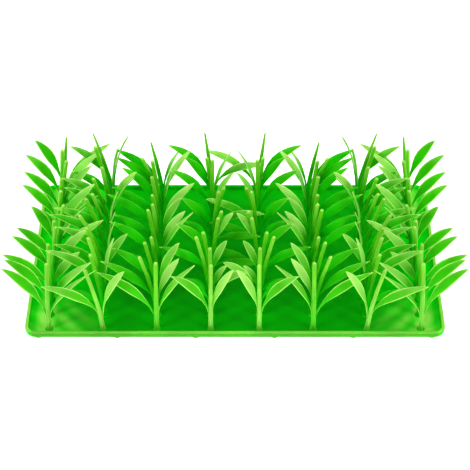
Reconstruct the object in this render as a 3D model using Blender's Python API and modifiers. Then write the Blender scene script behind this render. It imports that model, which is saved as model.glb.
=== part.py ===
"""Moulded silicone grass mat for hiding dog treats: a low rimmed tray on small round feet, with eight
columns of soft grass sprigs. Each sprig is a stem that splits into an outer blade, an upright rod and an
inner blade. The roots of a column are fused into one narrow strip, which lies flush in a groove of the
tray's floor.

Metres, +Z up. +Y is the back. The origin is on the surface that the feet stand on, under the tray's centre.
"""

import math

import bmesh
import bpy
from mathutils import Vector

MM = 0.001

# Tray
TRAY_WIDTH = 390 * MM
TRAY_DEPTH = 206 * MM
CORNER_RADIUS = 10 * MM
RIM_THICKNESS = 2.8 * MM
FLOOR_THICKNESS = 2.4 * MM
RIM_HEIGHT = 4.0 * MM  # from the floor up to the lip
LIP_RADIUS = 1.2 * MM
CORNER_STEPS = 5

# Feet
FOOT_RADIUS = 5.5 * MM
FOOT_HEIGHT = 2.6 * MM
FOOT_TAPER = 0.8 * MM
FOOT_SIDES = 14
FOOT_COLUMNS = 6
FOOT_COLUMN_PITCH = 73 * MM
FOOT_ROWS = 3
FOOT_EDGE_MARGIN = 6.5 * MM  # from the tray's front and back edges to the foot's centre

# Grass layout
SPRIG_ROWS = 11
FRONT_ROOT_MARGIN = 9 * MM  # from the tray's front edge to the first root
ROW_PITCH = 17.6 * MM

# Root strips and the grooves that hold them
STRIP_WIDTH = 6.4 * MM
STRIP_THICKNESS = 1.2 * MM
STRIP_END = 3.6 * MM  # past the first and the last root
FIT_GAP = 0.3 * MM

# Strands
STEM_RADIUS = 2.4 * MM
ROD_RADIUS = 1.9 * MM
ROD_TIP_RADIUS = 1.2 * MM
STEM_HEIGHT = 18 * MM
LEAN_BEND = 1.5  # a rod bends this way: its lean grows with this power of its height
BLADE_THICKNESS = 1.5 * MM
BLADE_ROOT_HEIGHT = 7 * MM  # where a blade's middle line leaves the stem's axis
BLADE_WIDTH = 9.8 * MM
BLADE_TURN_START = math.radians(70)  # a blade's face turns from the side towards the front and the top
BLADE_TURN_END = math.radians(45)
OUTER_END_ANGLE = math.radians(60)  # how far an arch has bent over at its tip
INNER_END_ANGLE = math.radians(38)
LOW_END_ANGLE = math.radians(86)

FLOOR_TOP = FOOT_HEIGHT + FLOOR_THICKNESS
TRAY_TOP = FLOOR_TOP + RIM_HEIGHT
FIRST_ROOT_Y = -TRAY_DEPTH / 2 + FRONT_ROOT_MARGIN
LAST_ROOT_Y = FIRST_ROOT_Y + (SPRIG_ROWS - 1) * ROW_PITCH

# A blade's width along its length: the share of its length, and the share of its full width.
WIDTH_FIELDS = ("along", "width")
WIDTH_PROFILE = [
    dict(zip(WIDTH_FIELDS, row))
    for row in ((0.0, 0.26), (0.30, 0.27), (0.50, 0.74), (0.68, 1.0), (0.87, 0.66), (1.0, 0.08))
]
BLADE_STEPS = len(WIDTH_PROFILE) - 1

# The columns of grass in one half of the mat, from its outer edge to the middle. Swings are in degrees, and
# turn the blades towards the back.
COLUMN_FIELDS = ("x", "outer_swing", "inner_swing")
COLUMNS = [
    dict(zip(COLUMN_FIELDS, row))
    for row in ((172.5, 3, 13), (122.5, -8, -9), (72.5, 9, 11), (22.5, -8, -5))
]

# The sprigs of each column, front to back, in mm and degrees. A lean moves the rod's tip towards the middle of
# the mat. A reach and a height are a blade tip's, from the root. A twist turns the inner blade's face, and a
# low blade crosses the middle of the mat.
SPRIG_FIELDS = (
    "lean",
    "rod",
    "outer_reach",
    "outer_height",
    "inner_reach",
    "inner_height",
    "inner_twist",
    "low",
)
SPRIGS = [
    [dict(zip(SPRIG_FIELDS, row)) for row in rows]
    for rows in (
        (
            (5, 86, 37, 77, 48, 66, -90, 0),
            (6, 84, 37, 71, 42, 60, -45, 0),
            (2, 76, 42, 60, 30, 59, 0, 0),
            (8, 81, 34, 67, 37, 70, 0, 0),
            (4, 72, 32, 61, 50, 62, 0, 0),
            (12, 76, 19, 73, 32, 66, -80, 0),
            (8, 78, 17, 52, 40, 78, 0, 0),
            (7, 78, 32, 68, 42, 48, -80, 0),
            (11, 85, 32, 69, 35, 72, -30, 0),
            (5, 84, 32, 76, 40, 72, -20, 0),
            (8, 86, 24, 80, 50, 67, -20, 0),
        ),
        (
            (-12, 78, 52, 63, 24, 79, 0, 0),
            (-8, 80, 42, 38, 20, 60, -45, 0),
            (-11, 84, 50, 74, 13, 85, -30, 0),
            (-14, 80, 45, 64, 24, 75, 0, 0),
            (-22, 79, 42, 69, 11, 72, -60, 0),
            (-17, 84, 52, 70, 10, 68, -60, 0),
            (-13, 74, 50, 62, 12, 78, -60, 0),
            (-13, 78, 41, 71, 27, 82, -80, 0),
            (-6, 77, 45, 68, 28, 74, 0, 0),
            (-13, 88, 38, 60, 10, 88, -80, 0),
            (-16, 90, 40, 78, 19, 89, -80, 0),
        ),
        (
            (2, 87, 53, 66, 37, 76, -60, 0),
            (-14, 77, 51, 63, 22, 70, 0, 0),
            (-10, 78, 41, 64, 22, 73, 0, 0),
            (-5, 68, 40, 44, 19, 51, -45, 0),
            (-8, 86, 46, 64, 34, 76, -70, 0),
            (-5, 77, 43, 57, 26, 63, 0, 0),
            (-6, 73, 50, 66, 22, 65, 0, 0),
            (-7, 80, 47, 60, 34, 66, 0, 0),
            (-7, 85, 38, 71, 16, 74, -80, 0),
            (-18, 73, 45, 68, 30, 78, -30, 0),
            (-10, 79, 47, 63, 22, 70, -80, 0),
        ),
        (
            (1, 84, 35, 74, 21, 79, 0, 0),
            (0, 88, 29, 53, 34, 62, 0, 1),
            (-13, 85, 30, 33, 15, 49, -30, 0),
            (-7, 74, 48, 61, 15, 64, 0, 0),
            (7, 76, 33, 72, 50, 26, 0, 1),
            (10, 68, 27, 59, 21, 67, 0, 0),
            (7, 77, 29, 72, 48, 27, 0, 1),
            (12, 66, 28, 53, 52, 41, 0, 1),
            (1, 86, 41, 78, 21, 71, -30, 0),
            (-5, 74, 27, 77, 20, 84, -60, 0),
            (-7, 91, 44, 80, 52, 58, 0, 1),
        ),
    )
]
LOW_SWING = 12  # degrees: the low blades of one half pass in front of those of the other

SILICONE = {"grass_silicone": (0.09, 0.55, 0.02), "tray_silicone": (0.02, 0.42, 0.01)}


def clear_scene():
    for obj in list(bpy.data.objects):
        bpy.data.objects.remove(obj, do_unlink=True)


def new_collection(name):
    collection = bpy.data.collections.new(name)
    bpy.context.scene.collection.children.link(collection)
    return collection


def silicone(name):
    material = bpy.data.materials.new(name)
    material.use_nodes = True
    shader = material.node_tree.nodes["Principled BSDF"]
    shader.inputs["Base Color"].default_value = (*SILICONE[name], 1)
    shader.inputs["Roughness"].default_value = 0.4
    shader.inputs["Metallic"].default_value = 0
    return material


def object_from_bmesh(name, bm, collection, material=None):
    bmesh.ops.recalc_face_normals(bm, faces=bm.faces)
    mesh = bpy.data.meshes.new(name)
    bm.to_mesh(mesh)
    bm.free()
    obj = bpy.data.objects.new(name, mesh)
    collection.objects.link(obj)
    if material:
        mesh.materials.append(material)
    return obj


def make_helper(obj):
    obj.hide_render = True
    obj.display_type = "WIRE"
    return obj


def box(bm, low, high):
    low, high = Vector(low), Vector(high)
    made = bmesh.ops.create_cube(bm, size=1)
    bmesh.ops.scale(bm, vec=high - low, verts=made["verts"])
    bmesh.ops.translate(bm, vec=(high + low) / 2, verts=made["verts"])


def strip_box(bm, x, grow, top):
    """The room of one root strip, grown on all sides but its top, which is given."""
    box(
        bm,
        (x - STRIP_WIDTH / 2 - grow, FIRST_ROOT_Y - STRIP_END - grow, FLOOR_TOP - STRIP_THICKNESS - grow),
        (x + STRIP_WIDTH / 2 + grow, LAST_ROOT_Y + STRIP_END + grow, top),
    )


def sprigs_of(number):
    """The sprigs of one column with the places of their roots, front to back."""
    for row, sprig in enumerate(SPRIGS[number]):
        yield sprig | {"y": FIRST_ROOT_Y + row * ROW_PITCH}


def top_faces(bm):
    height = max(vert.co.z for vert in bm.verts)
    return [face for face in bm.faces if all(abs(vert.co.z - height) < 1e-6 for vert in face.verts)]


def make_tray(collection, helpers, material):
    """A rounded slab whose top is inset by the rim and pressed down to the floor, with its lip rounded."""
    bm = bmesh.new()
    box(
        bm,
        (-TRAY_WIDTH / 2, -TRAY_DEPTH / 2, FOOT_HEIGHT),
        (TRAY_WIDTH / 2, TRAY_DEPTH / 2, TRAY_TOP),
    )
    upright = [edge for edge in bm.edges if abs(edge.verts[0].co.z - edge.verts[1].co.z) > FLOOR_THICKNESS]
    bmesh.ops.bevel(
        bm, geom=upright, offset=CORNER_RADIUS, segments=CORNER_STEPS, profile=0.5, affect="EDGES"
    )
    top = top_faces(bm)
    bmesh.ops.inset_region(bm, faces=top, thickness=RIM_THICKNESS, use_even_offset=True)
    pressed = bmesh.ops.extrude_face_region(bm, geom=top)["geom"]
    moved = [item for item in pressed if isinstance(item, bmesh.types.BMVert)]
    bmesh.ops.translate(bm, vec=(0, 0, -RIM_HEIGHT), verts=moved)
    bmesh.ops.delete(bm, geom=[face for face in top if face.is_valid], context="FACES_ONLY")
    lip = {edge for face in top_faces(bm) for edge in face.edges if face.is_valid}
    lip = [edge for edge in lip if any(abs(face.normal.z) < 0.5 for face in edge.link_faces)]
    bmesh.ops.bevel(bm, geom=lip, offset=LIP_RADIUS, segments=2, profile=0.5, affect="EDGES")
    tray = object_from_bmesh("tray", bm, collection, material)

    grooves = bmesh.new()
    for column in COLUMNS:
        for half in (-1, 1):
            strip_box(grooves, half * column["x"] * MM, FIT_GAP, TRAY_TOP)
    cut = tray.modifiers.new("grooves", "BOOLEAN")
    cut.operation = "DIFFERENCE"
    cut.object = make_helper(object_from_bmesh("groove_cutters", grooves, helpers))

    feet = bmesh.new()
    sunk = FLOOR_THICKNESS / 4  # how far a foot reaches up into the floor that it is moulded with
    for row in range(FOOT_ROWS):
        for column in range(FOOT_COLUMNS):
            made = bmesh.ops.create_cone(
                feet,
                cap_ends=True,
                segments=FOOT_SIDES,
                radius1=FOOT_RADIUS - FOOT_TAPER,
                radius2=FOOT_RADIUS,
                depth=FOOT_HEIGHT + sunk,
            )
            across = (column - (FOOT_COLUMNS - 1) / 2) * FOOT_COLUMN_PITCH
            along = (row / (FOOT_ROWS - 1) - 0.5) * (TRAY_DEPTH - 2 * FOOT_EDGE_MARGIN)
            bmesh.ops.translate(feet, vec=(across, along, (FOOT_HEIGHT + sunk) / 2), verts=made["verts"])
    join = tray.modifiers.new("feet", "BOOLEAN")
    join.operation = "UNION"
    join.object = make_helper(object_from_bmesh("foot_pads", feet, helpers))
    return tray


def make_rods(half, number, helpers):
    """The stems with their upright rods: one square-sided tapering strand from each root."""
    curve = bpy.data.curves.new("rods", "CURVE")
    curve.dimensions = "3D"
    curve.bevel_depth = 1
    curve.bevel_resolution = 0
    curve.use_fill_caps = True
    for sprig in sprigs_of(number):
        height = sprig["rod"] * MM
        levels = (
            (-STRIP_THICKNESS / 2, STEM_RADIUS),
            (STEM_HEIGHT, STEM_RADIUS),
            (height - 2 * ROD_RADIUS, ROD_RADIUS),
            (height, ROD_TIP_RADIUS),
        )
        spline = curve.splines.new("POLY")
        spline.points.add(len(levels) - 1)
        for point, (level, radius) in zip(spline.points, levels):
            leant = sprig["lean"] * max(0, level / height) ** LEAN_BEND
            point.co = (half * (COLUMNS[number]["x"] - leant) * MM, sprig["y"], FLOOR_TOP + level, 1)
            point.radius = radius  # the curve's bevel is one metre deep, so this is in metres
    drawn = bpy.data.objects.new(curve.name, curve)
    helpers.objects.link(drawn)
    graph = bpy.context.evaluated_depsgraph_get()
    bm = bmesh.new()
    bm.from_mesh(bpy.data.meshes.new_from_object(drawn.evaluated_get(graph)))
    bmesh.ops.remove_doubles(bm, verts=bm.verts, dist=0.01 * MM)
    bpy.data.objects.remove(drawn)
    return make_helper(object_from_bmesh("rod_shapes", bm, helpers))


def blade_place(side, reach, height, swing, twist, end_angle, along):
    """A point of a blade's arched middle line, from its root, and the direction across the blade there."""
    angle = end_angle * along
    rise_span = (height - BLADE_ROOT_HEIGHT) / math.sin(end_angle)
    out_span = reach / (1 - math.cos(end_angle))
    away = Vector((side * math.cos(swing), math.sin(swing), 0))
    back = Vector((-side * math.sin(swing), math.cos(swing), 0))
    middle = away * out_span * (1 - math.cos(angle))
    middle.z = BLADE_ROOT_HEIGHT + rise_span * math.sin(angle)
    slope = math.atan2(rise_span * math.cos(angle), out_span * math.sin(angle))
    above = Vector((0, 0, math.cos(slope))) - away * math.sin(slope)
    turn = BLADE_TURN_START + (BLADE_TURN_END - BLADE_TURN_START + twist) * along
    return middle, back * math.cos(turn) + above * math.sin(turn)


def make_blades(half, number, inner, helpers):
    """The blades on one side of a column: flat ribbons set to their arches, then given their thickness."""
    column = COLUMNS[number]
    kind = "inner" if inner else "outer"
    side = -half if inner else half
    bm = bmesh.new()
    for sprig in sprigs_of(number):
        end_angle = INNER_END_ANGLE if inner else OUTER_END_ANGLE
        swing = column[kind + "_swing"]
        if inner and sprig["low"]:
            end_angle = LOW_END_ANGLE
            swing = LOW_SWING * half
        root = Vector((half * column["x"] * MM, sprig["y"], FLOOR_TOP))
        made = bmesh.ops.create_grid(bm, x_segments=BLADE_STEPS, y_segments=1, size=0.5)
        for vert in made["verts"]:
            station = WIDTH_PROFILE[round((vert.co.x + 0.5) * BLADE_STEPS)]
            middle, across = blade_place(
                side,
                sprig[kind + "_reach"] * MM,
                sprig[kind + "_height"] * MM,
                math.radians(swing),
                math.radians(sprig["inner_twist"]) if inner else 0,
                end_angle,
                station["along"],
            )
            vert.co = root + middle + across * BLADE_WIDTH * station["width"] * vert.co.y
    blades = object_from_bmesh(f"{kind}_blade_shapes", bm, helpers)
    wall = blades.modifiers.new("thickness", "SOLIDIFY")
    wall.thickness = BLADE_THICKNESS
    wall.offset = 0
    return make_helper(blades)


def make_strip(half, number, collection, helpers, material):
    """A root strip with the rods and blades of its column fused to it."""
    bm = bmesh.new()
    strip_box(bm, half * COLUMNS[number]["x"] * MM, 0, FLOOR_TOP)
    place = number + 1 if half < 0 else 2 * len(COLUMNS) - number
    strip = object_from_bmesh(f"grass_strip_{place}", bm, collection, material)
    shapes = (
        make_rods(half, number, helpers),
        make_blades(half, number, False, helpers),
        make_blades(half, number, True, helpers),
    )
    for shape in shapes:
        join = strip.modifiers.new(shape.name, "BOOLEAN")
        join.operation = "UNION"
        join.object = shape
    return strip


def main():
    clear_scene()
    mat = new_collection("grass_mat")
    helpers = new_collection("helpers")
    make_tray(mat, helpers, silicone("tray_silicone"))
    grass = silicone("grass_silicone")
    for half in (-1, 1):
        for number in range(len(COLUMNS)):
            make_strip(half, number, mat, helpers, grass)


main()
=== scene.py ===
"""Moulded silicone grass mat for hiding dog treats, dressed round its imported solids.

The tray, its feet and the eight columns of grass are modelled here as the real moulding looks, each in the
place of its solid. All sizes are in metres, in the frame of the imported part.
"""

import math

import bmesh
import bpy
from mathutils import Matrix, Vector


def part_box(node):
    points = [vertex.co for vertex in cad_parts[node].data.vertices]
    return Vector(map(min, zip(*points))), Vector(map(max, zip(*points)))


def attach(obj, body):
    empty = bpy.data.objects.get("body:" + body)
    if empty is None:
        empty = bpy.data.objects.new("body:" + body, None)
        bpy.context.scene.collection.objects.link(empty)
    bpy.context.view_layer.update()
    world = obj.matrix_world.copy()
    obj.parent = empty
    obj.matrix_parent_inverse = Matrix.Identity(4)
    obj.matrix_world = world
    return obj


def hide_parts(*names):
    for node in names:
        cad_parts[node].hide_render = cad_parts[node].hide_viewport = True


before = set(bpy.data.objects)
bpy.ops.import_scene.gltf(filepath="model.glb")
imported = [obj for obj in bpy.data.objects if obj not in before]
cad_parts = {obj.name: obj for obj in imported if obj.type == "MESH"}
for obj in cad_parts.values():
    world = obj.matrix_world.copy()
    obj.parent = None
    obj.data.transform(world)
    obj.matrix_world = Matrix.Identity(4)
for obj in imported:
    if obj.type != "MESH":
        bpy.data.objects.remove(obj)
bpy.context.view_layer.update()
TRAY_LOW, TRAY_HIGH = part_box("tray")

bl_info = {
    "name": "Silicone grass mat",
    "version": (1, 0, 0),
    "blender": (4, 5, 0),
    "location": "3D Viewport > Sidebar > Grass mat",
    "description": "Models a moulded silicone grass mat that hides dog treats",
    "category": "Add Mesh",
}

MM = 0.001
LEVEL_TOLERANCE = 0.02 * MM

# Tray
TRAY_WIDTH = TRAY_HIGH.x - TRAY_LOW.x
TRAY_DEPTH = TRAY_HIGH.y - TRAY_LOW.y
TRAY_TOP = TRAY_HIGH.z
FLOOR_TOP = 5.0 * MM
FLOOR_UNDERSIDE = 2.6 * MM
FLOOR_GRID = (28, 14)  # cuts across the tray's width and its depth, which let the floor wave
FLOOR_WAVE_SIZE = 60 * MM
BEAD_DEPTH = 2.4 * MM  # the height of the bead round the lip
BEAD_SLOPE = 0.4 * MM  # the height over which the bead falls back to the wall
SOLE_RADIUS = 0.9 * MM  # the rounding of the outer bottom edge
CORNER_STEPS = 8
LIP_STEPS = 3
FILLET_STEPS = 3

# Paleness of the tray is painted light: 0 where it has the floor's own colour, and 1 where the painted
# light is brightest.
RIM_PALENESS = 0.6  # here the tray has the rim's colour
LIT_WALL_PALENESS = 0.55
LIP_HIGHLIGHT = 0.85
SIDE_LIP_HIGHLIGHT = 1.0

LIP_HIGHLIGHT_BAND = 0.5 * MM  # the lip's paleness reaches this far down
SHADED_WALL_FOOT = 2 * MM  # and that of the inner wall starts this far above the floor

# Painted light on the floor. The floor turns to its lit colour between two places: along X from the middle
# outwards, and along Y to the back.
LIT_FROM_MIDDLE = (105 * MM, 190 * MM)
LIT_TO_BACK = (-90 * MM, 90 * MM)
LIT_SIDE_SHARE = 0.85
LIT_BACK_SHARE = 0.55

# A painted pool of light and a patch of painted streaks of light and shade lie in each corner of the
# floor. The margins run from the tray's outer faces to the middle of a patch, and its radii are along
# X, Y and Z.
GLOW_MARGINS = (18.5 * MM, 26 * MM)
GLOW_RADII = (10.5 * MM, 42 * MM, 5 * MM)
GLOW_STRENGTH = 1.2
STREAK_MARGINS = (34 * MM, 17 * MM)
STREAK_RADII = (40 * MM, 36 * MM, 5 * MM)
STREAK_PITCH = 15 * MM
STREAK_ANGLE = math.radians(-42)
STREAK_STRENGTH = 0.55
STREAK_GROUND = 0.22  # the strength between two streaks
WAVE_PITCH = 0.314  # from band to band of a Wave texture at a scale of 1

# Feet
FOOT_COLUMNS = 6
FOOT_COLUMN_PITCH = 73 * MM
FOOT_ROWS = 3
FOOT_EDGE_MARGIN = 6.5 * MM
FOOT_SIDES = 24
FOOT_TAPER = 0.8 * MM
FOOT_EDGE_RADIUS = 0.6 * MM
FOOT_SUNK = 0.6 * MM
DIMPLE_MARGIN = 1.2 * MM
DIMPLE_SLOPE = 0.6 * MM
DIMPLE_DEPTH = 0.4 * MM

# Grass layout
FRONT_ROOT_MARGIN = 9 * MM
ROW_PITCH = 17.6 * MM
FIRST_ROOT_Y = TRAY_LOW.y + FRONT_ROOT_MARGIN

# Stems, rods and collars
STEM_HEIGHT = 18 * MM
STEM_SUNK = 0.6 * MM
LEAN_BEND = 1.5  # a rod bends this way: its lean grows with this power of its height
ROD_SIDES = 8
BACK_ROD_THINNING = 0.6  # the rods of the back row are thinner at their tips by this share
BACK_ROD_POINT = 8  # and this power of the height keeps the thinning near the tip
COLLAR_SIDES = 12
COLLAR_ROUNDING = 0.6  # of its height

# Leaves
LEAF_LENGTH = 85 * MM  # of the straight leaf that every leaf is laid out from
LEAF_ROOT_HEIGHT = 7 * MM
LEAF_EDGE = 0.66  # where a leaf's flat faces end, as a share of its half width
LEAF_TURN_START = math.radians(70)
LEAF_TURN_END = math.radians(45)
OUTER_END_ANGLE = math.radians(60)
INNER_END_ANGLE = math.radians(38)
LOW_END_ANGLE = math.radians(86)
LOW_SWING = 12  # degrees: the low leaves of one half pass in front of those of the other
INNER_TIP_WIDENING = 0.7  # of the full width, which makes the inner leaves' tips blunt
INNER_TIP_POWER = 8
SMOOTH_ANGLE = math.radians(50)

# Paleness of the strands, which is painted light and shade: 0 where they are deep in colour in painted
# shade, and 1 at the painted highlights on their thin edges.
GRASS_PALENESS = 0.45  # here a strand has the grass colour
PALE_PALENESS = 0.85  # and here the pale one
ROD_PALENESS = 0.56
ROD_HIGHLIGHT_PALENESS = 0.85
COLLAR_PALENESS = 0.1
PALENESS_SPREAD = 0.08  # from sprig to sprig
# Painted shade: behind the front row the strands are deep in colour low down, and the outer leaves more so
# row by row and nearer the middle.
ROD_DEEP = 22 * MM  # up to here the rods behind the front row have the deep colour
FADE_HEIGHT = 45 * MM  # over which a strand comes from its deep colour to its full paleness
DEEPER_BY_ROW = 0.9 * MM  # the outer leaves are deeper with each row, and more so nearer the middle
DEEPEST_ROW = 6
# Painted light: a leaf grows paler towards its tip, the inner leaves more so.
TIP_LIGHT_FIELDS = ("tip", "power")  # the paleness added at a leaf's tip, and how it grows along the leaf
TIP_LIGHT = {"outer": dict(zip(TIP_LIGHT_FIELDS, (0.25, 3))), "inner": dict(zip(TIP_LIGHT_FIELDS, (0.36, 1.5)))}
TIP_KEPT = 0.8  # a leaf's tip keeps this share of its paleness at any height
TIP_KEPT_POWER = 6
ROD_TOP_MIX = 0.35  # how near the tops of the rods come to the rod-top colour

# Silicone
CLOUD_SIZE = 30 * MM
GRAIN_SIZE = 0.9 * MM

# Studio
FLOOR_SIZE = 12
PAPER_GLOW = 0.5
SIDE_LIGHT_PLACE = Vector((0.9, -0.5, 0.6))
SIDE_LIGHT_TARGET = Vector((0.12, 0, 0.05))
SIDE_LIGHT_SIZE = 0.5
SIDE_LIGHT_SPREAD = math.radians(20)
TOP_LIGHT_PLACE = Vector((0, 0.2, 1.4))
TOP_LIGHT_SIZE = 1.2
TOP_LIGHT_SPREAD = math.pi
CAMERA_PLACE = Vector((0, -1.0073, 0.9961))
CAMERA_DIRECTION = Vector((0, 0.7238, -0.6900))
SENSOR_WIDTH = 36  # in mm

# The sockets of a Mix node that is set to colours: their names are shared with its other sockets.
MIX_FIRST = 6
MIX_SECOND = 7
MIX_RESULT = 2

# The straight leaf: the share of its length, of its full width and of its full thickness.
LEAF_FIELDS = ("along", "width", "thickness")
LEAF_STATIONS = [
    dict(zip(LEAF_FIELDS, row))
    for row in (
        (0.0, 0.20, 1.0),
        (0.15, 0.19, 1.0),
        (0.30, 0.19, 1.0),
        (0.40, 0.34, 0.95),
        (0.50, 0.66, 0.9),
        (0.60, 0.95, 0.85),
        (0.69, 1.0, 0.8),
        (0.79, 0.86, 0.75),
        (0.88, 0.59, 0.7),
        (0.95, 0.31, 0.6),
        (1.0, 0.05, 0.4),
    )
]

# The columns of grass in one half of the mat, from its outer edge to the middle, in mm and degrees. A swing
# turns the leaves towards the back. Pale is a leaf's least paleness where its painted shade has faded, and
# deep is the height from which that painted shade fades. Width is a share of the leaf width.
COLUMN_FIELDS = (
    "x",
    "outer_swing",
    "inner_swing",
    "outer_pale",
    "inner_pale",
    "outer_deep",
    "inner_deep",
    "outer_width",
    "inner_width",
)
# The inner leaves are paler than the outer ones as painted light from the side lamps.
COLUMNS = [
    dict(zip(COLUMN_FIELDS, row))
    for row in (
        (172.5, 3, 13, 0.32, 0.38, -8, 0, 1.15, 0.96),
        (122.5, -8, -9, 0.34, 0.39, 10, 2, 1.0, 0.86),
        (72.5, 9, 11, 0.36, 0.42, 23, 0, 1.0, 0.86),
        (22.5, -8, -5, 0.32, 0.40, 20, 0, 1.0, 0.86),
    )
]

# The sprigs of each column, front to back, in mm and degrees. A lean moves the rod's tip towards the middle
# of the mat. A reach and a height are a leaf tip's, from the root. A twist turns the inner leaf's face, and
# a low leaf crosses the middle of the mat.
SPRIG_FIELDS = (
    "lean",
    "rod",
    "outer_reach",
    "outer_height",
    "inner_reach",
    "inner_height",
    "inner_twist",
    "low",
)
SPRIGS = [
    [dict(zip(SPRIG_FIELDS, row)) for row in rows]
    for rows in (
        (
            (5, 86, 37, 77, 48, 66, -90, 0),
            (6, 84, 37, 71, 42, 60, -45, 0),
            (2, 76, 42, 60, 30, 59, 0, 0),
            (8, 81, 34, 67, 37, 70, 0, 0),
            (4, 72, 32, 61, 50, 62, 0, 0),
            (12, 76, 19, 73, 32, 66, -80, 0),
            (8, 78, 17, 52, 40, 78, 0, 0),
            (7, 78, 32, 68, 42, 48, -80, 0),
            (11, 85, 32, 69, 35, 72, -30, 0),
            (5, 84, 32, 76, 40, 72, -20, 0),
            (8, 86, 24, 80, 50, 67, -20, 0),
        ),
        (
            (-12, 78, 52, 63, 24, 79, 0, 0),
            (-8, 80, 42, 38, 20, 60, -45, 0),
            (-11, 84, 50, 74, 13, 85, -30, 0),
            (-14, 80, 45, 64, 24, 75, 0, 0),
            (-22, 79, 42, 69, 11, 72, -60, 0),
            (-17, 84, 52, 70, 10, 68, -60, 0),
            (-13, 74, 50, 62, 12, 78, -60, 0),
            (-13, 78, 41, 71, 27, 82, -80, 0),
            (-6, 77, 45, 68, 28, 74, 0, 0),
            (-13, 88, 38, 60, 10, 88, -80, 0),
            (-16, 90, 40, 78, 19, 89, -80, 0),
        ),
        (
            (2, 87, 53, 66, 37, 76, -60, 0),
            (-14, 77, 51, 63, 22, 70, 0, 0),
            (-10, 78, 41, 64, 22, 73, 0, 0),
            (-5, 68, 40, 44, 19, 51, -45, 0),
            (-8, 86, 46, 64, 34, 76, -70, 0),
            (-5, 77, 43, 57, 26, 63, 0, 0),
            (-6, 73, 50, 66, 22, 65, 0, 0),
            (-7, 80, 47, 60, 34, 66, 0, 0),
            (-7, 85, 38, 71, 16, 74, -80, 0),
            (-18, 73, 45, 68, 30, 78, -30, 0),
            (-10, 79, 47, 63, 22, 70, -80, 0),
        ),
        (
            (1, 84, 35, 74, 21, 79, 0, 0),
            (0, 88, 29, 53, 34, 62, 0, 1),
            (-13, 85, 30, 33, 15, 49, -30, 0),
            (-7, 74, 48, 61, 15, 64, 0, 0),
            (7, 76, 33, 72, 50, 26, 0, 1),
            (10, 68, 27, 59, 21, 67, 0, 0),
            (7, 77, 29, 72, 48, 27, 0, 1),
            (12, 66, 28, 53, 52, 41, 0, 1),
            (1, 86, 41, 78, 21, 71, -30, 0),
            (-5, 74, 27, 77, 20, 84, -60, 0),
            (-7, 91, 44, 80, 52, 58, 0, 1),
        ),
    )
]


def linear(hex_colour):
    """An sRGB hex colour as linear RGB."""
    shares = [int(hex_colour[i : i + 2], 16) / 255 for i in (1, 3, 5)]
    return tuple(s / 12.92 if s <= 0.04045 else ((s + 0.055) / 1.055) ** 2.4 for s in shares)


# --- Sizes and colours ------------------------------------------------------------------------------------


class GrassMatTray(bpy.types.PropertyGroup):
    """Sizes of the tray and its feet"""

    corner_radius: bpy.props.FloatProperty(
        name="Corner radius",
        description="Radius of the tray's upright corners",
        default=10 * MM,
        min=2 * MM,
        unit="LENGTH",
        subtype="DISTANCE",
    )
    rim_thickness: bpy.props.FloatProperty(
        name="Rim thickness",
        description="Thickness of the wall round the tray",
        default=3.3 * MM,
        min=1 * MM,
        unit="LENGTH",
        subtype="DISTANCE",
    )
    lip_radius: bpy.props.FloatProperty(
        name="Lip radius",
        description="Rounding of the rim's top edges",
        default=0.9 * MM,
        min=0.2 * MM,
        unit="LENGTH",
        subtype="DISTANCE",
    )
    bead: bpy.props.FloatProperty(
        name="Lip bead",
        description="How far the lip stands out from the wall below it",
        default=0.4 * MM,
        min=0,
        unit="LENGTH",
        subtype="DISTANCE",
    )
    fillet: bpy.props.FloatProperty(
        name="Floor fillet",
        description="Rounding where the floor meets the wall",
        default=1.4 * MM,
        min=0.2 * MM,
        unit="LENGTH",
        subtype="DISTANCE",
    )
    floor_wave: bpy.props.FloatProperty(
        name="Floor wave",
        description="How far the soft floor rises and falls",
        default=0.5 * MM,
        min=0,
        unit="LENGTH",
        subtype="DISTANCE",
    )
    foot_radius: bpy.props.FloatProperty(
        name="Foot radius",
        description="Radius of a foot where it meets the tray",
        default=5.5 * MM,
        min=2 * MM,
        unit="LENGTH",
        subtype="DISTANCE",
    )


class GrassMatGrass(bpy.types.PropertyGroup):
    """Sizes of the strands of grass"""

    leaf_width: bpy.props.FloatProperty(
        name="Leaf width",
        description="Width of a leaf at its widest",
        default=8.6 * MM,
        min=2 * MM,
        unit="LENGTH",
        subtype="DISTANCE",
    )
    leaf_thickness: bpy.props.FloatProperty(
        name="Leaf thickness",
        description="Thickness of a leaf at its stalk",
        default=1.7 * MM,
        min=0.4 * MM,
        unit="LENGTH",
        subtype="DISTANCE",
    )
    leaf_cup: bpy.props.FloatProperty(
        name="Leaf cup",
        description="How far a leaf's two edges stand above its middle line",
        default=0.5 * MM,
        min=0,
        unit="LENGTH",
        subtype="DISTANCE",
    )
    stem_radius: bpy.props.FloatProperty(
        name="Stem radius",
        description="Radius of the stem that a sprig's three strands share",
        default=2.4 * MM,
        min=0.5 * MM,
        unit="LENGTH",
        subtype="DISTANCE",
    )
    rod_radius: bpy.props.FloatProperty(
        name="Rod radius",
        description="Radius of the upright rod in a sprig's middle",
        default=1.9 * MM,
        min=0.5 * MM,
        unit="LENGTH",
        subtype="DISTANCE",
    )
    collar_radius: bpy.props.FloatProperty(
        name="Collar radius",
        description="Radius of the low ring round a sprig's root",
        default=3.75 * MM,
        min=1 * MM,
        unit="LENGTH",
        subtype="DISTANCE",
    )
    collar_height: bpy.props.FloatProperty(
        name="Collar height",
        description="Height of the low ring round a sprig's root",
        default=0.6 * MM,
        min=0.1 * MM,
        unit="LENGTH",
        subtype="DISTANCE",
    )


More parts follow.
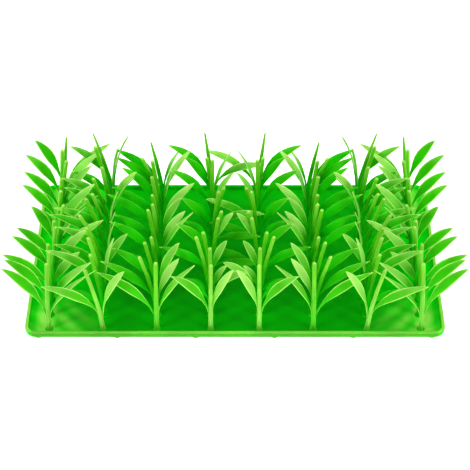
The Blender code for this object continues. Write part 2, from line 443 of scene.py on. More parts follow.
class GrassMatFinish(bpy.types.PropertyGroup):
    """Colours of the silicone"""

    # Painted shade: the grass takes this colour low down between the strands.
    shaded_grass_colour: bpy.props.FloatVectorProperty(
        name="Deep grass",
        description="Colour of the grass where it is thick",
        default=linear("#06CC08"),
        size=3,
        min=0,
        max=1,
        subtype="COLOR",
    )
    grass_colour: bpy.props.FloatVectorProperty(
        name="Grass",
        description="Colour of the grass",
        default=linear("#5ACA20"),
        size=3,
        min=0,
        max=1,
        subtype="COLOR",
    )
    tray_colour: bpy.props.FloatVectorProperty(
        name="Tray",
        description="Colour of the tray",
        default=linear("#06AC06"),
        size=3,
        min=0,
        max=1,
        subtype="COLOR",
    )
    # Painted light: the floor is drawn in this lighter colour towards its sides and its back.
    lit_colour: bpy.props.FloatVectorProperty(
        name="Lit floor",
        description="Colour of the tray's floor towards its sides and its back, where light comes through",
        default=linear("#08E60A"),
        size=3,
        min=0,
        max=1,
        subtype="COLOR",
    )
    # Painted light: the lip and the walls take this lighter colour where light falls on them.
    lit_rim_colour: bpy.props.FloatVectorProperty(
        name="Rim",
        description="Colour of the tray's thin rim, which lets light through",
        default=linear("#5CB030"),
        size=3,
        min=0,
        max=1,
        subtype="COLOR",
    )
    # Painted light: the glow in the floor's corners and the highlight along the lip's top take this colour.
    painted_glow_colour: bpy.props.FloatVectorProperty(
        name="Painted glow",
        description="Colour of the floor near the corners, where most light comes through",
        default=linear("#A6E86C"),
        size=3,
        min=0,
        max=1,
        subtype="COLOR",
    )
    # Painted light: the grass takes this colour where light falls on it.
    lit_grass_colour: bpy.props.FloatVectorProperty(
        name="Pale grass",
        description="Colour of the grass where it is thin or has bloomed",
        default=linear("#C4EA8C"),
        size=3,
        min=0,
        max=1,
        subtype="COLOR",
    )
    rod_top_colour: bpy.props.FloatVectorProperty(
        name="Rod tops",
        description="Colour that the upper parts of the rods come near",
        default=linear("#98D838"),
        size=3,
        min=0,
        max=1,
        subtype="COLOR",
    )
    # Painted highlight: the thin edges and the tips of the leaves take this colour.
    edge_highlight_colour: bpy.props.FloatVectorProperty(
        name="Edge highlights",
        description="Colour of the thinnest edges of the leaves",
        default=linear("#BCFF88"),
        size=3,
        min=0,
        max=1,
        subtype="COLOR",
    )


class GrassMatStudio(bpy.types.PropertyGroup):
    """Light and view"""

    side_power: bpy.props.FloatProperty(
        name="Side lights",
        description="Power of the two narrow soft lights at the front corners",
        default=0.2,
        min=0,
        unit="POWER",
    )
    top_power: bpy.props.FloatProperty(
        name="Top light",
        description="Power of the wide soft light above the mat",
        default=4.0,
        min=0,
        unit="POWER",
    )
    surround: bpy.props.FloatProperty(
        name="Surround",
        description="Strength of the even white surround",
        default=0.36,
        min=0,
    )
    lens: bpy.props.FloatProperty(
        name="Lens",
        description="Focal length on a 36 mm wide sensor",
        default=110.86,
        min=10,
        unit="CAMERA",
    )


# --- Helpers ----------------------------------------------------------------------------------------------


def only(*objects):
    """Selects these objects alone and makes the last one active."""
    bpy.ops.object.select_all(action="DESELECT")
    for obj in objects:
        obj.select_set(True)
    bpy.context.view_layer.objects.active = objects[-1]


def edit(obj):
    """Puts an object's place and scale into its mesh and opens it in edit mode."""
    only(obj)
    bpy.ops.object.transform_apply(location=True, rotation=True, scale=True)
    bpy.ops.object.mode_set(mode="EDIT")


def pick(obj, kind, test):
    """In edit mode, selects the vertices, edges or faces that pass the test, and nothing else."""
    bpy.ops.mesh.select_mode(type=kind)
    bpy.ops.mesh.select_all(action="DESELECT")
    shape = bmesh.from_edit_mesh(obj.data)
    elements = {"VERT": shape.verts, "EDGE": shape.edges, "FACE": shape.faces}[kind]
    found = 0
    for element in elements:
        if test(element):
            element.select_set(True)
            found += 1
    bmesh.update_edit_mesh(obj.data)
    if not found:
        raise RuntimeError(f"{obj.name}: nothing to select")


def level(z, *vertices):
    """Whether all these vertices are at one height."""
    return all(abs(vertex.co.z - z) < LEVEL_TOLERANCE for vertex in vertices)


def cut_across(places, normal):
    """In edit mode, cuts the whole mesh by planes at right angles to an axis."""
    for place in places:
        bpy.ops.mesh.select_all(action="SELECT")
        bpy.ops.mesh.bisect(plane_co=Vector(normal) * place, plane_no=normal)


def apply_modifier(obj, kind, **settings):
    """Adds a modifier with its settings and applies it."""
    modifier = obj.modifiers.new(kind.lower(), kind)
    for name, value in settings.items():
        setattr(modifier, name, value)
    only(obj)
    bpy.ops.object.modifier_apply(modifier=modifier.name)


def settle(obj, name, material, slot, *nodes):
    """Names a finished piece, turns its faces outwards, gives it its material and hands it to the frame."""
    obj.name = obj.data.name = name
    edit(obj)
    bpy.ops.mesh.select_all(action="SELECT")
    bpy.ops.mesh.normals_make_consistent(inside=False)
    bpy.ops.object.mode_set(mode="OBJECT")
    bpy.ops.object.shade_smooth_by_angle(angle=SMOOTH_ANGLE)
    obj.data.materials.clear()
    obj.data.materials.append(material)
    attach(obj, "root")
    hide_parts(*nodes)


# --- Materials --------------------------------------------------------------------------------------------


def add_node(tree, kind, inputs=(), **settings):
    """Adds a node with its settings. An input is a value, or the output that it is linked to."""
    node = tree.nodes.new(kind)
    for name, value in settings.items():
        setattr(node, name, value)
    for name, value in dict(inputs).items():
        if isinstance(value, bpy.types.NodeSocket):
            tree.links.new(value, node.inputs[name])
        else:
            node.inputs[name].default_value = value
    return node


def corner_patch(tree, mirrored, margins, radii):
    """A soft round patch on the floor in each corner: 1 in its middle, falling to 0 at its edge."""
    middle = (TRAY_WIDTH / 2 - margins[0], TRAY_DEPTH / 2 - margins[1], FLOOR_TOP)
    about = add_node(
        tree,
        "ShaderNodeMapping",
        {"Vector": mirrored, "Location": middle, "Scale": radii},
        vector_type="TEXTURE",
    )
    ball = add_node(
        tree,
        "ShaderNodeTexGradient",
        {"Vector": about.outputs["Vector"]},
        gradient_type="SPHERICAL",
    )
    return ball.outputs["Fac"]


def painted_corner_light(tree, mirrored):
    """How much painted light lies in the floor's corners: a painted glow with painted streaks beside it."""
    # The painted streaks of light and leaf shadow run aslant, about 15 mm from one to the next.
    slant = add_node(tree, "ShaderNodeMapping", {"Vector": mirrored, "Rotation": (0, 0, STREAK_ANGLE)})
    bands = add_node(
        tree,
        "ShaderNodeTexWave",
        {
            "Vector": slant.outputs["Vector"],
            "Scale": WAVE_PITCH / STREAK_PITCH,
            "Distortion": 2.5,
            "Detail": 1.0,
            "Detail Scale": 0.6,
        },
    )
    strength = add_node(
        tree,
        "ShaderNodeMath",
        {0: bands.outputs["Fac"], 1: STREAK_STRENGTH, 2: STREAK_GROUND},
        operation="MULTIPLY_ADD",
    )
    streaks = add_node(
        tree,
        "ShaderNodeMath",
        {0: strength.outputs["Value"], 1: corner_patch(tree, mirrored, STREAK_MARGINS, STREAK_RADII)},
        operation="MULTIPLY",
    )
    glow = corner_patch(tree, mirrored, GLOW_MARGINS, GLOW_RADII)
    light = add_node(
        tree,
        "ShaderNodeMath",
        {0: glow, 1: GLOW_STRENGTH, 2: streaks.outputs["Value"]},
        operation="MULTIPLY_ADD",
    )
    return light.outputs["Value"]


def paint_floor_light(tree, place, pale, colour, finish):
    """The tray's colour, with painted light on its floor at the sides, at the back and in the corners."""
    # The floor's paleness is 0 and that of the walls more than a third, so that they are left as they are.
    on_floor = add_node(
        tree, "ShaderNodeMath", {0: pale, 1: -3, 2: 1}, operation="MULTIPLY_ADD", use_clamp=True
    ).outputs["Value"]
    mirrored = add_node(tree, "ShaderNodeVectorMath", {0: place}, operation="ABSOLUTE").outputs["Vector"]
    shares = []
    for vector, axis, (start, end), share in (
        (mirrored, "X", LIT_FROM_MIDDLE, LIT_SIDE_SHARE),
        (place, "Y", LIT_TO_BACK, LIT_BACK_SHARE),
    ):
        along = add_node(tree, "ShaderNodeSeparateXYZ", {0: vector}).outputs[axis]
        limits = {"Value": along, "From Min": start, "From Max": end, "To Min": 0.0, "To Max": share}
        shares.append(add_node(tree, "ShaderNodeMapRange", limits).outputs["Result"])
    lit = add_node(tree, "ShaderNodeMath", enumerate(shares), operation="ADD").outputs["Value"]
    for light, lit_colour, clamped in (
        (lit, finish.lit_colour, True),
        (painted_corner_light(tree, mirrored), finish.painted_glow_colour, False),
    ):
        share = add_node(
            tree, "ShaderNodeMath", {0: light, 1: on_floor}, operation="MULTIPLY", use_clamp=clamped
        ).outputs["Value"]
        mixed = {"Factor": share, MIX_FIRST: colour, MIX_SECOND: (*lit_colour, 1)}
        colour = add_node(tree, "ShaderNodeMix", mixed, data_type="RGBA").outputs[MIX_RESULT]
    return colour


def start_silicone(name, shades):
    """Starts a silicone whose colour follows its paleness, which holds painted light and shade.

    A shade is a paleness from 0 to 1 and the colour there. Gives the material, the place on the piece, and
    the paleness and the colour there.
    """
    material = bpy.data.materials.new(name)
    material.use_nodes = True
    tree = material.node_tree
    place = add_node(tree, "ShaderNodeTexCoord").outputs["Object"]
    pale = add_node(tree, "ShaderNodeAttribute", attribute_name="paleness").outputs["Fac"]
    ramp = add_node(tree, "ShaderNodeValToRGB", {"Fac": pale})
    stops = ramp.color_ramp.elements
    for paleness, _ in shades[1:-1]:
        stops.new(paleness)
    for stop, (paleness, colour) in zip(stops, shades):
        stop.position = paleness
        stop.color = (*colour, 1)
    return material, place, pale, ramp.outputs["Color"]


def finish_silicone(material, place, colour):
    """Food-grade silicone rubber, compression moulded: satin, and a little translucent."""
    tree = material.node_tree
    shader = tree.nodes["Principled BSDF"]
    # Pigment mixed in by hand leaves soft clouds about 30 mm across, in the tone and in the gloss.
    clouds = add_node(
        tree, "ShaderNodeTexNoise", {"Vector": place, "Scale": 1 / CLOUD_SIZE, "Detail": 2.0}
    ).outputs["Fac"]
    clouds_between = {"Value": clouds, "From Min": 0.3, "From Max": 0.7}
    tone = add_node(tree, "ShaderNodeMapRange", clouds_between | {"To Min": 0.9, "To Max": 1.1})
    toned = add_node(
        tree, "ShaderNodeHueSaturation", {"Value": tone.outputs["Result"], "Color": colour}
    ).outputs["Color"]
    tree.links.new(toned, shader.inputs["Base Color"])
    gloss = add_node(tree, "ShaderNodeMapRange", clouds_between | {"To Min": 0.33, "To Max": 0.45})
    tree.links.new(gloss.outputs["Result"], shader.inputs["Roughness"])
    # The spark-eroded mould leaves a grain of about 0.1 mm, drawn here at 0.9 mm so that it shows.
    grain = add_node(
        tree, "ShaderNodeTexNoise", {"Vector": place, "Scale": 1 / GRAIN_SIZE, "Detail": 2.0}
    ).outputs["Fac"]
    bump = add_node(
        tree, "ShaderNodeBump", {"Height": grain, "Strength": 0.25, "Distance": 0.05 * MM}
    ).outputs["Normal"]
    tree.links.new(bump, shader.inputs["Normal"])
    shader.inputs["IOR"].default_value = 1.41
    shader.inputs["Specular IOR Level"].default_value = 0.18
    shader.inputs["Subsurface Weight"].default_value = 0.25
    shader.inputs["Subsurface Radius"].default_value = (0.4, 1.0, 0.2)
    shader.inputs["Subsurface Scale"].default_value = 2 * MM
    # A fine bloom on the surface makes its edges look lighter.
    shader.inputs["Sheen Weight"].default_value = 0.22
    shader.inputs["Sheen Roughness"].default_value = 0.3
    shader.inputs["Sheen Tint"].default_value = (*linear("#A8F050"), 1)


def tray_silicone(finish):
    """The tray's silicone, with painted light on its rim and its floor."""
    material, place, pale, colour = start_silicone(
        "moulded_silicone_tray",
        (
            (0, finish.tray_colour),
            (RIM_PALENESS, finish.lit_rim_colour),
            (1, finish.painted_glow_colour),
        ),
    )
    finish_silicone(material, place, paint_floor_light(material.node_tree, place, pale, colour, finish))
    return material


def grass_silicone(finish):
    """The grass's silicone: deep in colour in its painted shade, and nearer to a lighter yellow-green up
    the rods.
    """
    material, place, _, colour = start_silicone(
        "moulded_silicone_grass",
        (
            (0, finish.shaded_grass_colour),
            (GRASS_PALENESS, finish.grass_colour),
            (PALE_PALENESS, finish.lit_grass_colour),
            (1, finish.edge_highlight_colour),
        ),
    )
    tree = material.node_tree
    rod_top_share = add_node(tree, "ShaderNodeAttribute", attribute_name="rod_top_share").outputs["Fac"]
    share = add_node(tree, "ShaderNodeMath", {0: rod_top_share, 1: ROD_TOP_MIX}, operation="MULTIPLY")
    mixed = {
        "Factor": share.outputs["Value"],
        MIX_FIRST: colour,
        MIX_SECOND: (*finish.rod_top_colour, 1),
    }
    nearer_top = add_node(tree, "ShaderNodeMix", mixed, data_type="RGBA")
    finish_silicone(material, place, nearer_top.outputs[MIX_RESULT])
    return material


# --- The tray and its feet --------------------------------------------------------------------------------


class GRASSMAT_OT_tray(bpy.types.Operator):
    """Models the low tray with its rounded lip and softly waving floor"""

    bl_idname = "grass_mat.tray"
    bl_label = "Make the tray"

    def execute(self, context):
        sizes = context.scene.grass_mat_tray
        tray = self.model_shell(sizes)
        self.round_edges(tray, sizes)
        self.wave_floor(tray, sizes)
        self.paint_rim_and_wall_light(tray, sizes)
        silicone = tray_silicone(context.scene.grass_mat_finish)
        settle(tray, "tray_moulding", silicone, "tray_silicone", "tray")
        return {"FINISHED"}

    def model_shell(self, sizes):
        """A block with rounded corners and a bead round its lip, hollowed down to the floor."""
        bpy.ops.mesh.primitive_cube_add(
            size=1,
            location=(0, 0, (TRAY_TOP + FLOOR_UNDERSIDE) / 2),
            scale=(TRAY_WIDTH, TRAY_DEPTH, TRAY_TOP - FLOOR_UNDERSIDE),
        )
        tray = bpy.context.object
        edit(tray)
        pick(tray, "EDGE", lambda edge: abs(edge.verts[0].co.z - edge.verts[1].co.z) > MM)
        bpy.ops.mesh.bevel(offset=sizes.corner_radius, segments=CORNER_STEPS, affect="EDGES")
        # The wall below the bead stands back.
        bead_foot = TRAY_TOP - BEAD_DEPTH
        cut_across([bead_foot, bead_foot - BEAD_SLOPE], (0, 0, 1))
        pick(tray, "VERT", lambda vertex: vertex.co.z < bead_foot - BEAD_SLOPE / 2)
        bpy.ops.transform.resize(
            value=(1 - 2 * sizes.bead / TRAY_WIDTH, 1 - 2 * sizes.bead / TRAY_DEPTH, 1),
            center_override=(0, 0, 0),
        )
        pick(tray, "FACE", lambda face: level(TRAY_TOP, *face.verts))
        bpy.ops.mesh.inset(thickness=sizes.rim_thickness, use_even_offset=True)
        bpy.ops.mesh.extrude_region_move(TRANSFORM_OT_translate={"value": (0, 0, FLOOR_TOP - TRAY_TOP)})
        return tray

    def round_edges(self, tray, sizes):
        """Rounds the lip, the foot of the inner wall and the outer bottom edge."""

        def on_lip(edge):
            beside_wall = any(abs(face.normal.z) < 0.5 for face in edge.link_faces)
            return level(TRAY_TOP, *edge.verts) and beside_wall

        pick(tray, "EDGE", on_lip)
        bpy.ops.mesh.bevel(offset=sizes.lip_radius, segments=LIP_STEPS, affect="EDGES")
        pick(tray, "EDGE", lambda edge: level(FLOOR_TOP, *edge.verts))
        bpy.ops.mesh.bevel(offset=sizes.fillet, segments=FILLET_STEPS, affect="EDGES")
        pick(tray, "EDGE", lambda edge: level(FLOOR_UNDERSIDE, *edge.verts))
        bpy.ops.mesh.bevel(offset=SOLE_RADIUS, segments=FILLET_STEPS, affect="EDGES")

    def wave_floor(self, tray, sizes):
        """Cuts the tray into a grid and lets the floor wave inside its fillet."""
        for axis, cuts, span in (
            ((1, 0, 0), FLOOR_GRID[0], TRAY_WIDTH),
            ((0, 1, 0), FLOOR_GRID[1], TRAY_DEPTH),
        ):
            cut_across([span * ((cut + 0.5) / cuts - 0.5) for cut in range(cuts)], axis)
        bpy.ops.object.mode_set(mode="OBJECT")
        margin = sizes.rim_thickness + sizes.fillet + MM
        floor = tray.vertex_groups.new(name="floor")
        floor.add(
            [
                vertex.index
                for vertex in tray.data.vertices
                if level(FLOOR_TOP, vertex)
                and abs(vertex.co.x) < TRAY_WIDTH / 2 - margin
                and abs(vertex.co.y) < TRAY_DEPTH / 2 - margin
            ],
            1.0,
            "REPLACE",
        )
        waves = bpy.data.textures.new("floor_waves", "CLOUDS")
        waves.noise_scale = FLOOR_WAVE_SIZE
        apply_modifier(
            tray,
            "DISPLACE",
            texture=waves,
            texture_coords="LOCAL",
            direction="Z",
            strength=2 * sizes.floor_wave,
            vertex_group=floor.name,
        )
        tray.vertex_groups.clear()

    def paint_rim_and_wall_light(self, tray, sizes):
        """Painted light: the outside, the lip and the front's inner wall are pale, with a painted highlight
        along the lip, and the rest is as deep as the floor.

        At the back only the lip's outer edge is pale, as the rest of it lies in the shade of the grass.
        """
        pale = tray.data.attributes.new("paleness", "FLOAT", "POINT")
        outside_margin = 2 * sizes.bead
        rim_margin = 2 * sizes.rim_thickness
        for vertex in tray.data.vertices:
            x, y, z = vertex.co
            from_side = TRAY_WIDTH / 2 - abs(x)
            outside = from_side < outside_margin or abs(y) > TRAY_DEPTH / 2 - outside_margin
            beside = from_side < rim_margin
            # Painted light: the lip's top band takes a painted highlight and the walls a lighter colour,
            # while the back stays in shade.
            if y > TRAY_DEPTH / 2 - rim_margin and not outside:
                share = 0.0
            elif z > TRAY_TOP - LIP_HIGHLIGHT_BAND:
                share = SIDE_LIP_HIGHLIGHT if beside else LIP_HIGHLIGHT
            elif outside or z > FLOOR_TOP + SHADED_WALL_FOOT and not beside:
                share = LIT_WALL_PALENESS
            else:
                share = 0.0
            pale.data[vertex.index].value = share


class GRASSMAT_OT_feet(bpy.types.Operator):
    """Models one round foot and copies it under the tray"""

    bl_idname = "grass_mat.feet"
    bl_label = "Make the feet"

    def execute(self, context):
        foot = self.model_foot(context.scene.grass_mat_tray)
        feet = []
        for row in range(FOOT_ROWS):
            for column in range(FOOT_COLUMNS):
                copy = foot.copy()
                copy.data = foot.data.copy()
                copy.location = (
                    (column - (FOOT_COLUMNS - 1) / 2) * FOOT_COLUMN_PITCH,
                    (row / (FOOT_ROWS - 1) - 0.5) * (TRAY_DEPTH - 2 * FOOT_EDGE_MARGIN),
                    0,
                )
                context.collection.objects.link(copy)
                feet.append(copy)
        bpy.data.objects.remove(foot)
        context.view_layer.update()
        only(*feet)
        bpy.ops.object.join()
        silicone = bpy.data.materials["moulded_silicone_tray"]
        settle(context.object, "tray_feet", silicone, "tray_silicone", "tray")
        return {"FINISHED"}

    def model_foot(self, sizes):
        """One foot: a low cone with a rounded edge and a shallow dimple in its sole, which lets it grip."""
        height = FLOOR_UNDERSIDE + FOOT_SUNK
        bpy.ops.mesh.primitive_cone_add(
            vertices=FOOT_SIDES,
            radius1=sizes.foot_radius - FOOT_TAPER,
            radius2=sizes.foot_radius,
            depth=height,
            location=(0, 0, height / 2),
        )
        foot = bpy.context.object
        edit(foot)
        pick(foot, "EDGE", lambda edge: level(0, *edge.verts))
        bpy.ops.mesh.bevel(offset=FOOT_EDGE_RADIUS, segments=FILLET_STEPS, affect="EDGES")
        pick(foot, "FACE", lambda face: face.normal.z < -0.99)
        bpy.ops.mesh.inset(thickness=DIMPLE_MARGIN)
        bpy.ops.mesh.inset(thickness=DIMPLE_SLOPE, depth=-DIMPLE_DEPTH)
        bpy.ops.object.mode_set(mode="OBJECT")
        return foot


# --- The grass --------------------------------------------------------------------------------------------


def sprigs_of(number):
    """The sprigs of one column with their rows and the places of their roots, front to back."""
    for row, sprig in enumerate(SPRIGS[number]):
        yield sprig | {"row": row, "y": FIRST_ROOT_Y + row * ROW_PITCH}


def model_leaf(sizes):
    """One straight leaf along X: a slab cut into stations, each drawn in to the leaf's outline."""
    bpy.ops.mesh.primitive_cube_add(
        size=1,
        location=(LEAF_LENGTH / 2, 0, 0),
        scale=(LEAF_LENGTH, sizes.leaf_width, sizes.leaf_thickness),
    )
    leaf = bpy.context.object
    edit(leaf)
    cut_across([station["along"] * LEAF_LENGTH for station in LEAF_STATIONS[1:-1]], (1, 0, 0))
    cut_across([0], (0, 1, 0))
    cut_across([0], (0, 0, 1))
    # The flat faces end short of the thin edges.
    pick(leaf, "VERT", lambda vertex: abs(vertex.co.z) > 0.1 * MM)
    bpy.ops.transform.resize(value=(1, LEAF_EDGE, 1), center_override=(0, 0, 0))
    for station in LEAF_STATIONS:
        x = station["along"] * LEAF_LENGTH
        pick(leaf, "VERT", lambda vertex, x=x: abs(vertex.co.x - x) < 0.1 * MM)
        bpy.ops.transform.resize(
            value=(1, station["width"], station["thickness"]), center_override=(x, 0, 0)
        )
    bpy.ops.object.mode_set(mode="OBJECT")
    leaf.name = "leaf"
    pale = leaf.data.attributes.new("paleness", "FLOAT", "POINT")
    for vertex in leaf.data.vertices:
        along, across, up = vertex.co.x / LEAF_LENGTH, abs(vertex.co.y), abs(vertex.co.z)
        # Painted highlight: the leaf's thin edges and its tip are fully pale.
        on_edge = up < 0.05 * MM and across > 0.05 * MM
        pale.data[vertex.index].value = 1.0 if on_edge or along > 0.99 else 0.0
        vertex.co.z += sizes.leaf_cup * (across / (sizes.leaf_width / 2)) ** 2
    return leaf


def model_rod(sizes):
    """One upright rod, 1 m high, cut at the levels that set_rod moves to their heights."""
    bpy.ops.mesh.primitive_cylinder_add(
        vertices=ROD_SIDES, radius=sizes.rod_radius, depth=1, location=(0, 0, 0.5)
    )
    rod = bpy.context.object
    edit(rod)
    cut_across([mark["level"] for mark in rod_marks(sizes, 1)[1:-1]], (0, 0, 1))
    bpy.ops.object.mode_set(mode="OBJECT")
    rod.name = "rod"
    pale = rod.data.attributes.new("paleness", "FLOAT", "POINT")
    for vertex in rod.data.vertices:
        # Painted highlights: the rod is paler along its left and right sides and at its tip.
        on_edge = abs(vertex.co.x) > 0.9 * sizes.rod_radius or vertex.co.z > 0.93
        pale.data[vertex.index].value = ROD_HIGHLIGHT_PALENESS if on_edge else 0.0
    rod.data.attributes.new("rod_top_share", "FLOAT", "POINT")
    return rod


def model_collar(sizes):
    """One low ring round a root, with its top edge rounded."""
    bpy.ops.mesh.primitive_cylinder_add(
        vertices=COLLAR_SIDES,
        radius=sizes.collar_radius,
        depth=sizes.collar_height + STEM_SUNK,
        location=(0, 0, (sizes.collar_height - STEM_SUNK) / 2),
    )
    collar = bpy.context.object
    edit(collar)
    pick(collar, "EDGE", lambda edge: level(sizes.collar_height, *edge.verts))
    bpy.ops.mesh.bevel(offset=COLLAR_ROUNDING * sizes.collar_height, segments=2, affect="EDGES")
    bpy.ops.object.mode_set(mode="OBJECT")
    collar.name = "collar"
    collar.data.attributes.new("paleness", "FLOAT", "POINT")
    return collar


def rod_marks(sizes, height):
    """A rod of this height: the levels of the straight rod, and the height and radius that each comes to.

    It is as wide as the stem below, tapers above it and is rounded at its tip.
    """
    stem, rod = sizes.stem_radius, sizes.rod_radius
    free = height - STEM_HEIGHT
    fields = ("level", "z", "radius")
    return [
        dict(zip(fields, row))
        for row in (
            (0.0, -STEM_SUNK, stem),
            (0.2, STEM_HEIGHT, 0.96 * stem),
            (0.35, STEM_HEIGHT + 0.25 * free, 1.08 * rod),
            (0.6, STEM_HEIGHT + 0.6 * free, rod),
            (0.9, height - rod, 0.96 * rod),
            (0.95, height - 0.35 * rod, 0.78 * rod),
            (1.0, height, 0.35 * rod),
        )
    ]


def leaf_place(side, reach, height, swing, twist, end_angle, along):
    """A point of a leaf's arched middle line from its root, the way across it and the way it faces."""
    angle = end_angle * along
    rise_span = (height - LEAF_ROOT_HEIGHT) / math.sin(end_angle)
    out_span = reach / (1 - math.cos(end_angle))
    away = Vector((side * math.cos(swing), math.sin(swing), 0))
    back = Vector((-side * math.sin(swing), math.cos(swing), 0))
    middle = away * out_span * (1 - math.cos(angle))
    middle.z = LEAF_ROOT_HEIGHT + rise_span * math.sin(angle)
    slope = math.atan2(rise_span * math.cos(angle), out_span * math.sin(angle))
    above = Vector((0, 0, math.cos(slope))) - away * math.sin(slope)
    turn = LEAF_TURN_START + (LEAF_TURN_END - LEAF_TURN_START + twist) * along
    across = back * math.cos(turn) + above * math.sin(turn)
    facing = above * math.cos(turn) - back * math.sin(turn)
    return middle, across, facing


def clamp(value):
    """The value, kept from 0 to 1."""
    return min(1.0, max(0.0, value))


def unshaded_share(row, height, deep):
    """How much of its paleness a strand keeps at a height.

    Behind the front row the strands are deep in colour low down, in painted shade.
    """
    return 1.0 if row == 0 else clamp((height - deep) / FADE_HEIGHT)


def copy_of(model, paleness):
    """A copy of a strand with its own mesh, at least this pale."""
    strand = model.copy()
    strand.data = model.data.copy()
    for item in strand.data.attributes["paleness"].data:
        item.value = max(item.value, paleness)
    bpy.context.collection.objects.link(strand)
    return strand


class GRASSMAT_OT_grass(bpy.types.Operator):
    """Models one leaf, one rod and one collar, and sets their copies out in eight columns"""

    bl_idname = "grass_mat.grass"
    bl_label = "Make the grass"

    def execute(self, context):
        sizes = context.scene.grass_mat_grass
        silicone = grass_silicone(context.scene.grass_mat_finish)
        leaf = model_leaf(sizes)
        rod = model_rod(sizes)
        collar = model_collar(sizes)
        for half in (-1, 1):
            for number, column in enumerate(COLUMNS):
                strands = []
                for sprig in sprigs_of(number):
                    root = Vector((half * column["x"] * MM, sprig["y"], FLOOR_TOP))
                    # Each sprig is a little paler or deeper than the next, in no pattern that shows.
                    change = PALENESS_SPREAD * math.sin(3.1 * sprig["row"] + 2.3 * number)
                    pale = ROD_PALENESS + change
                    strands.append(self.set_rod(rod, sprig, number, half, root, sizes, pale))
                    strands.append(self.set_collar(collar, root))
                    for kind in ("outer", "inner"):
                        pale = column[kind + "_pale"] + change
                        strands.append(self.set_leaf(leaf, sprig, number, half, kind, root, pale))
                only(*strands)
                bpy.ops.object.join()
                place = number + 1 if half < 0 else 2 * len(COLUMNS) - number
                settle(
                    context.object,
                    f"grass_column_{place}",
                    silicone,
                    "grass_silicone",
                    f"grass_strip_{place}",
                )
        for model in (leaf, rod, collar):
            bpy.data.objects.remove(model)
        return {"FINISHED"}

    def set_rod(self, model, sprig, number, half, root, sizes, paleness):
        """A copy of the rod, drawn to its height and leant."""
        rod = copy_of(model, paleness)
        height = sprig["rod"] * MM
        marks = rod_marks(sizes, height)
        in_back_row = sprig["row"] == len(SPRIGS[number]) - 1
        shades = rod.data.attributes
        for vertex, pale, toward_top in zip(rod.data.vertices, shades["paleness"].data, shades["rod_top_share"].data):
            mark = min(marks, key=lambda mark: abs(mark["level"] - vertex.co.z))
            z, radius = mark["z"], mark["radius"]
            # The rods come nearer a lighter yellow-green up their height.
            toward_top.value = clamp((z - STEM_HEIGHT) / FADE_HEIGHT)
            # Behind the front row the rod's lower part takes painted shade.
            pale.value *= unshaded_share(sprig["row"], z, ROD_DEEP)
            if in_back_row:
                radius *= 1 - BACK_ROD_THINNING * max(0, z / height) ** BACK_ROD_POINT
            vertex.co.x *= radius / sizes.rod_radius
            vertex.co.y *= radius / sizes.rod_radius
            leant = sprig["lean"] * MM * max(0, z / height) ** LEAN_BEND
            vertex.co.x += root.x - half * leant
            vertex.co.y += root.y
            vertex.co.z = root.z + z
        return rod

    def set_collar(self, model, root):
        """A copy of the collar round a root."""
        collar = copy_of(model, COLLAR_PALENESS)
        collar.data.transform(Matrix.Translation(root))
        return collar

    def set_leaf(self, model, sprig, number, half, kind, root, paleness):
        """A copy of the leaf, bent over its arch from the root."""
        column = COLUMNS[number]
        inner = kind == "inner"
        side = -half if inner else half
        end_angle = INNER_END_ANGLE if inner else OUTER_END_ANGLE
        swing = column[kind + "_swing"]
        if inner and sprig["low"]:
            end_angle = LOW_END_ANGLE
            swing = LOW_SWING * half
        # The painted shade reaches higher on the outer leaves of rows further back and of columns nearer
        # the middle.
        deep = column[kind + "_deep"] * MM
        if not inner:
            deep += DEEPER_BY_ROW * number * min(sprig["row"], DEEPEST_ROW)
        tip_light = TIP_LIGHT[kind]
        leaf = copy_of(model, paleness)
        for vertex, pale in zip(leaf.data.vertices, leaf.data.attributes["paleness"].data):
            along = vertex.co.x / LEAF_LENGTH
            width = column[kind + "_width"]
            if inner:
                width += INNER_TIP_WIDENING * along**INNER_TIP_POWER
            vertex.co.y *= width
            middle, across, facing = leaf_place(
                side,
                sprig[kind + "_reach"] * MM,
                sprig[kind + "_height"] * MM,
                math.radians(swing),
                math.radians(sprig["inner_twist"]) if inner else 0,
                end_angle,
                along,
            )
            # A leaf keeps its paleness above its painted shade, and its tip keeps most of it.
            kept = max(unshaded_share(sprig["row"], middle.z, deep), TIP_KEPT * along**TIP_KEPT_POWER)
            pale.value = max(pale.value, paleness + tip_light["tip"] * along ** tip_light["power"]) * kept
            vertex.co = root + middle + across * vertex.co.y + facing * vertex.co.z
        return leaf


# --- The studio -------------------------------------------------------------------------------------------


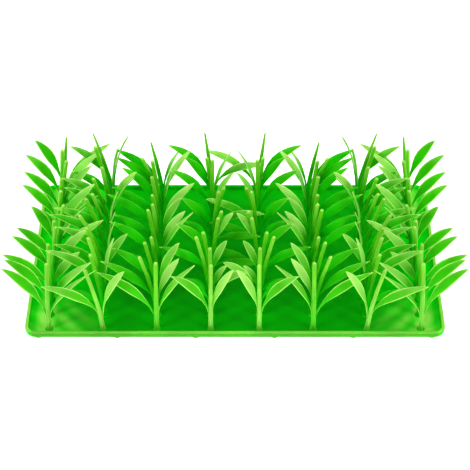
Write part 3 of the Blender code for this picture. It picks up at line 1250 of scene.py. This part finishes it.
class GRASSMAT_OT_studio(bpy.types.Operator):
    """Sets the pale floor, the soft lights and the camera"""

    bl_idname = "grass_mat.studio"
    bl_label = "Set the studio"

    def execute(self, context):
        studio = context.scene.grass_mat_studio
        bpy.ops.object.select_all(action="DESELECT")
        self.add_floor()
        for half, name in ((-1, "side_light_left"), (1, "side_light_right")):
            light = self.add_light(
                name,
                SIDE_LIGHT_PLACE * Vector((half, 1, 1)),
                SIDE_LIGHT_TARGET * Vector((half, 1, 1)),
                studio.side_power,
            )
            light.size = SIDE_LIGHT_SIZE
            light.spread = SIDE_LIGHT_SPREAD
        light = self.add_light("top_light", TOP_LIGHT_PLACE, Vector((0, 0, 0)), studio.top_power)
        light.size = TOP_LIGHT_SIZE
        light.spread = TOP_LIGHT_SPREAD
        world = bpy.data.worlds.new("white_surround")
        world.use_nodes = True
        surround = world.node_tree.nodes["Background"]
        surround.inputs["Color"].default_value = (1, 1, 1, 1)
        surround.inputs["Strength"].default_value = studio.surround
        context.scene.world = world
        context.scene.view_settings.view_transform = "Standard"
        context.scene.view_settings.look = "High Contrast"
        bpy.ops.object.camera_add(location=CAMERA_PLACE)
        camera = context.object
        camera.rotation_euler = CAMERA_DIRECTION.to_track_quat("-Z", "Y").to_euler()
        camera.data.lens = studio.lens
        camera.data.sensor_width = SENSOR_WIDTH
        context.scene.camera = camera
        return {"FINISHED"}

    def add_floor(self):
        """A wide sheet of matt paper, nearly white, and lit a little from within so that it stays even."""
        bpy.ops.mesh.primitive_plane_add(size=FLOOR_SIZE, location=(0, 0, 0))
        floor = bpy.context.object
        floor.name = "studio_floor"
        paper = bpy.data.materials.new("matt_white_paper")
        paper.use_nodes = True
        shader = paper.node_tree.nodes["Principled BSDF"]
        shader.inputs["Base Color"].default_value = (*linear("#F7F7F7"), 1)
        shader.inputs["Roughness"].default_value = 0.9
        shader.inputs["Emission Color"].default_value = (1, 1, 1, 1)
        shader.inputs["Emission Strength"].default_value = PAPER_GLOW
        floor.data.materials.append(paper)

    def add_light(self, name, place, target, power):
        """Adds a soft light that points at its target, and returns its data."""
        bpy.ops.object.light_add(type="AREA", location=place)
        light = bpy.context.object
        light.name = name
        light.rotation_euler = (target - place).to_track_quat("-Z", "Y").to_euler()
        light.data.energy = power
        return light.data


class GRASSMAT_PT_panel(bpy.types.Panel):
    """Lists the mat's sizes, colours and pieces"""

    bl_idname = "GRASSMAT_PT_panel"
    bl_label = "Grass mat"
    bl_space_type = "VIEW_3D"
    bl_region_type = "UI"
    bl_category = "Grass mat"

    def draw(self, context):
        for group, operators in (
            (context.scene.grass_mat_tray, (GRASSMAT_OT_tray, GRASSMAT_OT_feet)),
            (context.scene.grass_mat_grass, (GRASSMAT_OT_grass,)),
            (context.scene.grass_mat_finish, ()),
            (context.scene.grass_mat_studio, (GRASSMAT_OT_studio,)),
        ):
            box = self.layout.box()
            for name in group.__annotations__:
                box.prop(group, name)
            for operator in operators:
                box.operator(operator.bl_idname)


GROUPS = {
    "grass_mat_tray": GrassMatTray,
    "grass_mat_grass": GrassMatGrass,
    "grass_mat_finish": GrassMatFinish,
    "grass_mat_studio": GrassMatStudio,
}
OTHERS = (GRASSMAT_OT_tray, GRASSMAT_OT_feet, GRASSMAT_OT_grass, GRASSMAT_OT_studio, GRASSMAT_PT_panel)


def register():
    for name, group in GROUPS.items():
        bpy.utils.register_class(group)
        setattr(bpy.types.Scene, name, bpy.props.PointerProperty(type=group))
    for kind in OTHERS:
        bpy.utils.register_class(kind)


def unregister():
    for kind in reversed(OTHERS):
        bpy.utils.unregister_class(kind)
    for name, group in reversed(GROUPS.items()):
        delattr(bpy.types.Scene, name)
        bpy.utils.unregister_class(group)


def main():
    register()
    bpy.ops.grass_mat.tray()
    bpy.ops.grass_mat.feet()
    bpy.ops.grass_mat.grass()
    bpy.ops.grass_mat.studio()
    bpy.context.view_layer.update()


if __name__ == "__main__":
    main()
